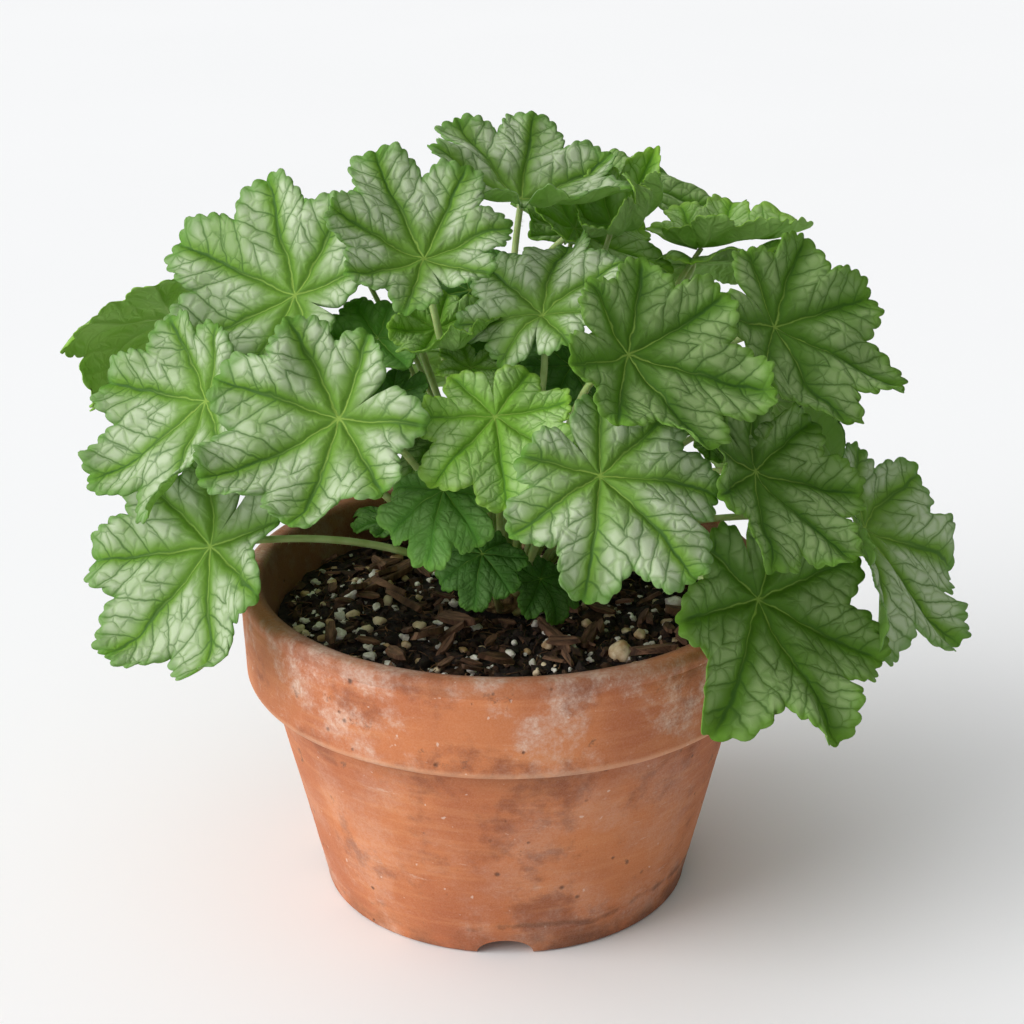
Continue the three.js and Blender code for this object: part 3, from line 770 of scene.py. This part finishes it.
def scatter(name, slot, material, shapes, places, sizes, draw, sink=0.25, squash=0.8, tilt=0.4):
    """One joined piece of many copies of a few shapes, each laid on the soil."""
    corners, faces, grain = [], [], []
    for (x, y), size in zip(places, sizes):
        shape, shape_faces = shapes[draw.integers(len(shapes))]
        lean = Matrix.Rotation(draw.uniform(-tilt, tilt), 3, "X")
        lean = lean @ Matrix.Rotation(draw.uniform(-tilt, tilt), 3, "Y")
        turn = np.array(lean @ Matrix.Rotation(draw.uniform(0, 2 * math.pi), 3, "Z"))
        local = shape * np.array([1, draw.uniform(0.75, 1), squash * draw.uniform(0.8, 1.1)]) * size
        first = len(corners)
        rise = size * (0.5 * squash - sink)
        corners.extend(local @ turn.T + np.array([x, y, soil_height(x, y) + rise]))
        faces.extend(tuple(first + i for i in face) for face in shape_faces)
        grain.extend(local[:, :2] + draw.uniform(-1, 1, 2))
    piece = new_piece(name, corners, faces)
    layer = piece.data.uv_layers.new(name="grain")
    for loop in piece.data.loops:
        layer.data[loop.index].uv = grain[loop.vertex_index]
    edit(piece, outwards)
    smooth(piece, 45)
    give(piece, name, slot, material)


def make_topping():
    """Crumbs, perlite, grit, bark splinters and fibres on the soil's surface."""
    draw = np.random.default_rng(11)
    lumps = [lump_shape(2, 0.7, seed) for seed in range(5)]
    small_lumps = [lump_shape(1, 0.8, seed) for seed in range(5)]
    rounds = [lump_shape(3, 0.35, seed) for seed in range(6)]
    chips = [chip_shape(seed) for seed in range(6)]
    reach = SOIL_RADIUS - 3 * MM
    places = strewn(2600, draw, 10 * MM, reach)
    scatter("compost_crumbs", "potting_mix", MATERIALS["crumb"], small_lumps, places,
            draw.gamma(3.0, 0.6 * MM, len(places)) + 0.8 * MM, draw)
    places = strewn(220, draw, 14 * MM, reach)
    scatter("compost_lumps", "potting_mix", MATERIALS["soil"], lumps, places,
            draw.uniform(3 * MM, 6.5 * MM, len(places)), draw)
    places = strewn(360, draw, 14 * MM, reach)
    scatter("perlite_grains", "potting_mix", MATERIALS["perlite"], lumps, places,
            draw.gamma(2.0, 0.75 * MM, len(places)) + 0.9 * MM, draw, sink=0.05)
    places = strewn(110, draw, 25 * MM, reach) + [(42 * MM, -43 * MM)]
    sizes = np.append(draw.uniform(2.2 * MM, 5.6 * MM, 110), 8.5 * MM)
    scatter("limestone_grit", "potting_mix", MATERIALS["pebble"], rounds, places, sizes, draw, sink=0.15)
    places = strewn(110, draw, 16 * MM, reach)
    scatter("bark_splinters", "bark", MATERIALS["bark"], chips, places,
            draw.gamma(3.0, 2.2 * MM, len(places)) + 3.5 * MM, draw, sink=0.0, squash=0.8, tilt=0.5)
    make_fibres(draw, strewn(240, draw, 14 * MM, reach))


def make_fibres(draw, places):
    """Thin curved roots and coir threads lying over the soil."""
    corners, faces = [], []
    sides, stations = 3, 5
    for x, y in places:
        length = draw.uniform(6 * MM, 18 * MM)
        radius = draw.uniform(0.12 * MM, 0.3 * MM)
        heading, curl = draw.uniform(0, 2 * math.pi), draw.uniform(-1.2, 1.2)
        first = len(corners)
        for i in range(stations):
            share = i / (stations - 1)
            turn = heading + curl * share
            px = x + length * (share - 0.5) * math.cos(turn)
            py = y + length * (share - 0.5) * math.sin(turn)
            if math.hypot(px, py) > SOIL_RADIUS - 2 * MM:
                px, py = (v * (SOIL_RADIUS - 2 * MM) / math.hypot(px, py) for v in (px, py))
            pz = soil_height(px, py) + 0.4 * MM + 1.2 * MM * math.sin(math.pi * share)
            for side in range(sides):
                angle = 2 * math.pi * side / sides
                across = radius * math.cos(angle)
                cx, cy = px - across * math.sin(turn), py + across * math.cos(turn)
                corners.append((cx, cy, pz + radius * math.sin(angle)))
        for i in range(stations - 1):
            for side in range(sides):
                a, b = first + i * sides + side, first + i * sides + (side + 1) % sides
                faces.append((a, b, b + sides, a + sides))
        faces.append(tuple(first + side for side in reversed(range(sides))))
        faces.append(tuple(first + (stations - 1) * sides + side for side in range(sides)))
    piece = new_piece("root_fibres", corners, faces)
    edit(piece, outwards)
    smooth(piece)
    give(piece, "root_fibres", "bark", MATERIALS["fibre"])


def make_bark_chip(name, seed):
    """A bark chip in its CAD solid's place, its faces split and worn."""
    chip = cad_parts[name].copy()
    chip.data = chip.data.copy()
    bpy.context.collection.objects.link(chip)
    chip.hide_render = False
    edit(chip, weld)
    edit(chip, lambda: bpy.ops.mesh.bevel(offset=0.7 * MM, segments=2))
    edit(chip, lambda: bpy.ops.mesh.quads_convert_to_tris(), lambda: bpy.ops.mesh.subdivide(number_cuts=4))
    corners = corners_of(chip.data)
    middle = corners.mean(axis=0)
    spread = corners - middle
    axis = np.linalg.svd(spread, full_matrices=False)[2]
    along, across = spread @ axis[0], spread @ axis[1]
    for i in range(len(corners)):
        split = noise.noise(Vector((along[i] * 60, across[i] * 700, seed)))
        tear = noise.noise(Vector((along[i] * 220, across[i] * 220, seed + 4)))
        corners[i] += axis[2] * (0.5 * MM * split + 0.25 * MM * tear)
    set_corners(chip.data, corners)
    layer = chip.data.uv_layers.new(name="grain")
    for loop in chip.data.loops:
        i = loop.vertex_index
        layer.data[loop.index].uv = (along[i], across[i])
    smooth(chip, 50)
    give(chip, f"{name}_torn", "bark", MATERIALS["bark"], name)


# ---- crown ----
def make_crown():
    deselect()
    middle = (CROWN_LOW + CROWN_HIGH) / 2
    bpy.ops.mesh.primitive_ico_sphere_add(subdivisions=5, radius=1)
    crown = bpy.context.object
    half = (CROWN_HIGH - CROWN_LOW) / 2
    corners = corners_of(crown.data)
    for i, corner in enumerate(corners):
        knob = noise.noise(Vector(corner) * 3.5)
        scale = noise.noise(Vector((corner[0] * 8, corner[1] * 8, corner[2] * 3)))
        corners[i] = corner * (1 + 0.16 * knob + 0.06 * scale)
    corners *= np.array([half.x, half.y, half.z * 1.25])
    set_corners(crown.data, corners + np.array(middle))
    smooth(crown)
    give(crown, "crown_base", "crown_wood", MATERIALS["crown"], "crown")


# ---- leaves ----
def merged(node):
    """A CAD node's shell with its loose triangles joined."""
    shell = bmesh.new()
    shell.from_mesh(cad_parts[node].data)
    bmesh.ops.remove_doubles(shell, verts=shell.verts, dist=WELD)
    return shell


def read_blade(name):
    """A leaf's joint, directions, length and bend, measured on its CAD blade."""
    shell = merged(f"{name}_blade")
    stalk = [v.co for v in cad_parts[f"{name}_stalk"].data.vertices]
    hubs = sorted(shell.verts, key=lambda v: -len(v.link_edges))[:2]
    hubs.sort(key=lambda v: min((v.co - point).length for point in stalk))
    lower, upper = (Vector(v.co) for v in hubs)
    joint = (lower + upper) / 2
    normal = (upper - lower).normalized()
    spread = np.array([v.co - joint for v in shell.verts])
    shell.free()
    far = spread[np.argsort(np.linalg.norm(spread, axis=1))[-2:]].mean(axis=0)
    rise = float(far @ np.array(normal))
    level = Vector(far) - normal * rise
    tipwards = level.normalized()
    leftwards = normal.cross(tipwards)
    middle_bend = 2 * math.atan2(rise, level.length)
    chord = math.hypot(rise, level.length)
    length = chord * (middle_bend / 2) / math.sin(middle_bend / 2) if abs(middle_bend) > 1e-6 else chord
    x, y = spread @ np.array(tipwards), spread @ np.array(leftwards)
    z = spread @ np.array(normal)
    behind = np.abs(np.arctan2(y, x) - 3 * VEIN_STEP) < math.radians(1.5)
    rows = np.argsort(np.hypot(x, y) * behind)[-2:]
    cup = 2 * math.atan2(z[rows].mean(), np.hypot(x, y)[rows].mean()) / LOBE_SHARES[3]
    return SimpleNamespace(joint=joint, tipwards=tipwards, leftwards=leftwards, normal=normal,
                           length=length, cup=cup, droop=(cup - middle_bend) / 2)


def placed_leaf(joint, heading, pitch, roll, length, cup, droop):
    """A small leaf that has no CAD blade: its joint and length in mm and its turns in degrees."""
    turn = Matrix.Rotation(math.radians(heading), 3, "Z")
    tipwards = turn @ (Matrix.Rotation(-math.radians(pitch), 3, "Y") @ Vector((1, 0, 0)))
    leftwards = Matrix.Rotation(math.radians(roll), 3, tipwards) @ (turn @ Vector((0, 1, 0)))
    return SimpleNamespace(joint=Vector(joint) * MM, tipwards=tipwards, leftwards=leftwards,
                           normal=tipwards.cross(leftwards), length=length * MM,
                           cup=math.radians(cup), droop=math.radians(droop))


def lobe_of(turn):
    """The number of the lobe that a turn falls in, and how far it is off that lobe's main vein."""
    lobe = np.clip(np.round(turn / VEIN_STEP), -3, 3)
    return lobe, turn - lobe * VEIN_STEP


def edge_reach(turn, tips):
    """Reach of the blade's edge along each turn, before its teeth."""
    lobe, off = lobe_of(turn)
    rank = np.abs(lobe).astype(int)
    outer = off * lobe >= 0
    gaps = [NOTCH_SHARE * (tips[i] + tips[i + 1]) / 2 for i in range(3)] + [SINUS_EDGE_SHARE]
    gap = np.array(gaps)[np.where(outer | (rank == 0), rank, rank - 1)]
    half = np.where(outer & (rank == 3), OUTER_LOBE_HALF, VEIN_STEP / 2)
    tip = np.array(tips)[rank]
    share = np.abs(off) / half
    lobed = tip - (tip - gap) * np.minimum(share, 1) ** LOBE_ROUNDNESS
    beyond = np.clip((np.abs(off) - half) / (math.pi - 3 * VEIN_STEP - OUTER_LOBE_HALF), 0, 1)
    return lobed + (SINUS_SHARE - lobed) * np.where(outer & (rank == 3), beyond ** 3, 0)


def toothed_edge(draw, tooth_width):
    """The blade's flat outline: even steps along it, without teeth and with them."""
    tips = [share * draw.uniform(0.95, 1.05) for share in LOBE_SHARES]
    turns = np.linspace(-math.pi, math.pi, 4001)
    reach = edge_reach(turns, tips)
    line = np.stack([reach * np.cos(turns), reach * np.sin(turns)], axis=1)
    run = np.concatenate([[0], np.cumsum(np.linalg.norm(np.diff(line, axis=0), axis=1))])
    even = np.linspace(0, run[-1], BLADE_COLUMNS + 1)
    turn = np.interp(even, run, turns)
    reach = edge_reach(turn, tips)
    plain = np.stack([reach * np.cos(turn), reach * np.sin(turn)], axis=1)
    ahead = np.gradient(plain, axis=0)
    ahead /= np.linalg.norm(ahead, axis=1, keepdims=True)
    side = np.stack([ahead[:, 1], -ahead[:, 0]], axis=1)
    # Rounded teeth with sharp gaps, a larger one at every third, none deep in a notch.
    phase = even / tooth_width + 0.25 * np.sin(even * 5.3 + draw.uniform(0, 6))
    tooth = np.abs(np.sin(math.pi * phase)) ** 0.75 - 0.45
    tooth += 0.45 * np.cos(2 * math.pi * phase / 3 + 0.8) + 0.2 * np.sin(even * 9.1)
    lobe, off = lobe_of(turn)
    half = np.where(np.abs(lobe) == 3, OUTER_LOBE_HALF, VEIN_STEP / 2)
    fade = np.clip((half - np.abs(off)) / math.radians(5), 0, 1)
    toothed = plain + side * (TOOTH_HEIGHT * tooth * fade)[:, None]
    return plain, toothed


def relief(flat, draw):
    """How far each flat point stands off the smooth blade, in shares of the leaf's length."""
    reach = np.hypot(flat[:, 0], flat[:, 1])
    turn = np.arctan2(flat[:, 1], flat[:, 0])
    _, off = lobe_of(turn)
    aside = reach * np.abs(np.sin(off))
    along = reach * np.cos(off)
    swell = np.minimum(reach / 0.15, 1)
    fold = 0.042 * reach * (1 - np.cos(2 * math.pi * off / VEIN_STEP))
    # Each lobe curls up or down by its own amount.
    curl = np.interp(turn / VEIN_STEP, np.arange(-4, 5), draw.normal(0, 0.055, 9)) * reach ** 2.5
    ruffle = 0.04 * reach ** 3 * np.sin(9 * turn + draw.uniform(0, 6))
    ruffle += 0.018 * reach ** 4 * np.sin(23 * turn)
    groove = -0.008 * np.exp(-(aside / 0.022) ** 2) * swell
    step = (along - SIDE_SLANT * aside) / SIDE_SPACING
    quilt = 0.010 * np.abs(np.sin(math.pi * step)) ** 0.7 * np.minimum(aside / 0.06, 1) * swell
    waves = np.zeros(len(flat))
    for size, depth in ((1.5, 0.06), (0.8, 0.034), (0.42, 0.014)):
        for _ in range(3):
            heading, phase = draw.uniform(0, 2 * math.pi, 2)
            run = flat[:, 0] * math.cos(heading) + flat[:, 1] * math.sin(heading)
            waves += depth * np.sin(2 * math.pi * run / size + phase) * reach
    return fold + curl + ruffle + groove + quilt + waves


def bent_places(leaf, flat, lift):
    """Flat points moved onto the bent blade and lifted off it, in metres."""
    reach = np.hypot(flat[:, 0], flat[:, 1])
    turn = np.arctan2(flat[:, 1], flat[:, 0])
    bend = leaf.cup - 2 * leaf.droop * np.maximum(np.cos(turn), 0)
    bend = np.where(np.abs(bend) < 1e-4, 1e-4, bend)
    slope = bend * reach
    out = np.sin(slope) / bend - lift * np.sin(slope)
    up = (1 - np.cos(slope)) / bend + lift * np.cos(slope)
    local = np.stack([out * np.cos(turn), out * np.sin(turn), up], axis=1) * leaf.length
    axes = np.array([leaf.tipwards, leaf.leftwards, leaf.normal])
    return local @ axes + np.array(leaf.joint)


def make_blade(name, leaf, face, seed, *nodes):
    """A thin toothed, quilted leaf over its CAD blade's bent shape."""
    draw = np.random.default_rng(seed)
    deselect()
    bpy.ops.mesh.primitive_grid_add(x_subdivisions=BLADE_COLUMNS, y_subdivisions=BLADE_ROWS, size=1)
    blade = bpy.context.object
    mesh = blade.data
    grid = corners_of(mesh)
    column = np.round((0.5 - grid[:, 0]) * BLADE_COLUMNS).astype(int)
    share = grid[:, 1] + 0.5
    tooth_width = TOOTH_WIDTH
    if leaf.length < YOUNG_LENGTH:
        tooth_width = min(TOOTH_WIDTH * 50 * MM / leaf.length, WIDEST_TOOTH)
    plain, toothed = toothed_edge(draw, tooth_width)
    near_edge = np.clip((share - 0.8) / 0.2, 0, 1) ** 1.5
    flat = plain[column] * share[:, None] + (toothed - plain)[column] * near_edge[:, None]
    lift = relief(flat, draw) - 0.03 * near_edge
    set_corners(mesh, bent_places(leaf, flat, lift))
    layer = mesh.uv_layers.active
    layer.name = "flat"
    corner_of_loop = np.empty(len(mesh.loops), dtype=np.int32)
    mesh.loops.foreach_get("vertex_index", corner_of_loop)
    layer.data.foreach_set("uv", (0.5 + FLAT_SPREAD * flat[corner_of_loop]).ravel())
    mesh.attributes.new("edge", "FLOAT", "POINT").data.foreach_set("value", share)
    own_seed = np.full(len(share), float(seed) * 3.7)
    mesh.attributes.new("seed", "FLOAT", "POINT").data.foreach_set("value", own_seed)
    edit(blade, weld)
    mesh.materials.append(face)
    mesh.materials.append(MATERIALS["under"])
    solid = blade.modifiers.new("thickness", "SOLIDIFY")
    solid.thickness = BLADE_THICKNESS
    solid.offset = 0
    solid.material_offset = 1
    solid.material_offset_rim = 0
    apply_all(blade)
    smooth(blade)
    give(blade, name, "leaf_blade", None, *nodes)


def read_stalk(name, joint):
    """The middle of each ring of a CAD stalk, from the crown up, and the stalk's radius."""
    shell = merged(f"{name}_stalk")
    ring = sorted(shell.verts, key=lambda v: (v.co - joint).length)[:7]
    middles, seen = [], set()
    radius = 0.0
    while ring:
        middle = sum((v.co for v in ring), Vector()) / len(ring)
        radius = max(radius, (ring[0].co - middle).length)
        middles.append(middle)
        seen.update(ring)
        ring = list({e.other_vert(v) for v in ring for e in v.link_edges} - seen)
    shell.free()
    return middles[::-1], radius


def hairs(points, radii, count, draw):
    """Fine pale hairs along a stalk: the corners and faces of slim three-sided spikes."""
    corners, faces = [], []
    for _ in range(count):
        spot = draw.uniform(0.5, len(points) - 1.3)
        i = int(spot)
        place = points[i].lerp(points[i + 1], spot - i)
        radius = radii[i] + (radii[i + 1] - radii[i]) * (spot - i)
        ahead = (points[i + 1] - points[i]).normalized()
        out = Vector(draw.normal(size=3)).cross(ahead).normalized()
        across = out.cross(ahead)
        root = place + out * radius * 0.9
        tip = place + out * (radius + draw.uniform(0.7 * MM, 1.4 * MM))
        tip = tip + ahead * draw.uniform(-0.5 * MM, 0.5 * MM)
        thick = HAIR_THICKNESS
        first = len(corners)
        corners += [root + across * thick, root - across * thick, root + ahead * thick * 1.7, tip]
        faces += [(first, first + 1, first + 2), (first, first + 3, first + 1),
                  (first + 1, first + 3, first + 2), (first + 2, first + 3, first)]
    return corners, faces


def make_stalk(name, points, radius, seed, *nodes):
    """A round tapering stalk through the given middles, sheathed at its foot, with fine hairs."""
    draw = np.random.default_rng(seed + 500)
    sheathed = points[0].lerp(points[1], min(0.35, 5 * MM / (points[1] - points[0]).length))
    points = [points[0], sheathed] + points[1:]
    tapering = [radius * (1.12 - 0.3 * i / len(points)) for i in range(len(points) - 2)]
    radii = [radius * 1.9, radius * 1.5] + tapering
    curve = bpy.data.curves.new(name, "CURVE")
    curve.dimensions = "3D"
    curve.bevel_depth = 1.0
    curve.bevel_resolution = 2
    curve.use_fill_caps = True
    curve.resolution_u = 6
    spline = curve.splines.new("BEZIER")
    spline.bezier_points.add(len(points) - 1)
    for knot, place, size in zip(spline.bezier_points, points, radii):
        knot.co = place
        knot.radius = size
        knot.handle_left_type = knot.handle_right_type = "AUTO"
    stalk = bpy.data.objects.new(name, curve)
    bpy.context.collection.objects.link(stalk)
    only(stalk)
    bpy.ops.object.convert(target="MESH")
    stalk = bpy.context.object
    edit(stalk, weld, outwards)
    fuzz = new_piece("fuzz", *hairs(points, radii, HAIRS_PER_STALK, draw))
    edit(fuzz, outwards)
    only(stalk)
    fuzz.select_set(True)
    bpy.ops.object.join()
    smooth(stalk)
    give(stalk, name, "leaf_stalk", MATERIALS["stalk"], *nodes)


# Leaves by upper skin: the dark group wears painted shade, and the bright group partly painted light.
FACES = {
    "silver": ["left_upper", "left_mid", "left_centre", "low_left", "centre_low", "centre_upper",
               "top_left", "top", "far_right"],
    "bright": ["centre_bright", "far_left", "back_curled", "back_right_light"],
    "dark": ["low_centre", "low_centre_right", "dark_centre", "behind_right"],
    "plain": ["low_centre_left", "back_left"],
}


def face_of(name):
    """The upper skin that suits a leaf's age and place: the dark skin is painted shade for leaves low or
    deep in the crown, and the bright skin is young leaves' paler colour together with painted light.
    """
    for face, names in FACES.items():
        if name in names:
            return MATERIALS[face]
    return MATERIALS["green"]


# Small leaves that fill the heart of the plant: joint (mm), heading, pitch, roll, length (mm), cup
# and droop (degrees), and skin.
SMALL_LEAVES = {
    "young_leaf": ((-24, -20, 226), -60, -30, 10, 27, 45, -10, "bright"),
    "young_leaf_low": ((-12, -28, 214), -110, -35, -15, 16, 40, 0, "bright"),
    "tucked_leaf_left": ((-46, -6, 218), -160, -30, -20, 27, 15, 10, "plain"),
    "tucked_leaf_low": ((-40, -20, 200), -140, -35, 0, 24, 15, 10, "dark"),
    "tucked_leaf_right": ((72, -38, 200), -40, -35, 10, 24, 20, 10, "green"),
    "yellow_leaf": ((48, 6, 226), -60, -20, 10, 14, 20, 10, "bright"),
    "curled_leaf_back": ((40, 32, 250), -28, -22, 25, 40, 110, -30, "bright"),
    "curled_leaf_right": ((74, 44, 238), 12, 2, -10, 38, 80, 20, "bright"),
    "bright_leaf_right": ((98, 14, 196), -10, -8, 10, 26, 40, 10, "bright"),
    "pale_leaf_left": ((-54, 22, 238), -110, -35, 10, 24, 40, 0, "bright"),
    "pale_leaf_back": ((26, 60, 240), 70, 15, 0, 34, 60, 10, "green"),
    "shaded_leaf_left": ((-40, 30, 214), -170, -20, 10, 30, 10, 10, "dark"),
    "shaded_leaf_centre": ((24, -2, 206), -60, -35, 0, 26, 10, 10, "dark"),
    "lance_leaf": ((-45, 62, 120), 150, 8, 0, 20, -10, 10, "plain"),
    "heart_leaf_left": ((-20, -14, 186), -130, -30, 0, 26, 15, 10, "green"),
    "heart_leaf_right": ((18, -26, 176), -40, -35, 0, 24, 15, 10, "plain"),
    "heart_leaf_back": ((8, 34, 200), 80, 10, 0, 30, 15, 10, "green"),
    "heart_leaf_middle": ((-2, 8, 208), -80, -30, 0, 26, 15, 10, "dark"),
}


def make_leaves():
    names = [node[:-len("_blade")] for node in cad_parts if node.endswith("_blade")]
    for seed, name in enumerate(sorted(names)):
        leaf = read_blade(name)
        make_blade(f"{name}_leaf", leaf, face_of(name), seed, f"{name}_blade")
        points, radius = read_stalk(name, leaf.joint)
        points = points + [leaf.joint - leaf.normal * 0.2 * MM]
        start = points[0]
        points[0] = start + (CROWN_FOOT - start).normalized() * 2.5 * MM
        make_stalk(f"{name}_petiole", points, radius, seed, f"{name}_stalk")



def make_small_leaves():
    for seed, (name, row) in enumerate(SMALL_LEAVES.items()):
        leaf = placed_leaf(*row[:7])
        make_blade(name, leaf, MATERIALS[row[7]], 100 + seed)
        out = Vector((leaf.joint.x, leaf.joint.y, 0)).normalized()
        foot = CROWN_FOOT + out * 9 * MM + Vector((0, 0, 6 * MM))
        rise = leaf.joint.z - foot.z
        points = [foot]
        for share in (0.25, 0.5, 0.75):
            point = foot.lerp(leaf.joint, share ** 1.4)
            point.z = foot.z + rise * share
            points.append(point)
        points.append(leaf.joint - leaf.normal * 0.2 * MM)
        make_stalk(f"{name}_petiole", points, SMALL_STALK_RADIUS, 100 + seed)


# ---- the room ----
def make_room():
    bpy.context.scene.view_settings.view_transform = "Standard"
    deselect()
    bpy.ops.mesh.primitive_plane_add(size=FLOOR_SIZE, location=(0, 0, -FLOOR_DROP))
    floor = bpy.context.object
    floor.name = "floor"
    material, tree, shader = finish("matt_white_paper", 0.9)
    tone = noise_of(tree, here(tree), 0.5, 2)
    paint(tree, shader, blend(tree, tone, rgb("#F0F1F2"), rgb("#F4F5F6")))
    floor.data.materials.append(material)

    world = bpy.data.worlds.new("room")
    bpy.context.scene.world = world
    world.use_nodes = True
    # The room is brighter on the window's side than on the far side, and brightest overhead.
    tree = world.node_tree
    across, _, up = add(tree, "SeparateXYZ", {0: add(tree, "TexCoord").outputs["Generated"]}).outputs
    sideways = ramp(tree, across, 0.9, -0.9, 0.16, 1.02)
    strength = math_of(tree, "MULTIPLY", sideways, ramp(tree, up, 0.0, 0.9, 0.68, 1.5))
    tree.links.new(strength, tree.nodes["Background"].inputs["Strength"])
    tree.nodes["Background"].inputs["Color"].default_value = (1.0, 1.0, 1.0, 1.0)

    window = bpy.data.lights.new("window", "SUN")
    window.energy = WINDOW_STRENGTH
    window.angle = WINDOW_SPREAD
    lamp = bpy.data.objects.new("window", window)
    lamp.rotation_euler = WINDOW_DIRECTION.to_track_quat("-Z", "Y").to_euler()
    bpy.context.collection.objects.link(lamp)


def make_camera():
    lens = bpy.data.cameras.new("camera")
    lens.lens = LENS_LENGTH
    lens.sensor_width = SENSOR_WIDTH
    camera = bpy.data.objects.new("camera", lens)
    camera.location = CAMERA_PLACE
    camera.rotation_euler = (CAMERA_TILT, 0, 0)
    bpy.context.collection.objects.link(camera)
    bpy.context.scene.camera = camera


make_camera()
make_room()
make_pot()
make_soil()
make_topping()
for number, chip_name in enumerate(("bark_chip_left", "bark_chip_front", "bark_chip_right")):
    make_bark_chip(chip_name, number)
make_crown()
make_leaves()
make_small_leaves()
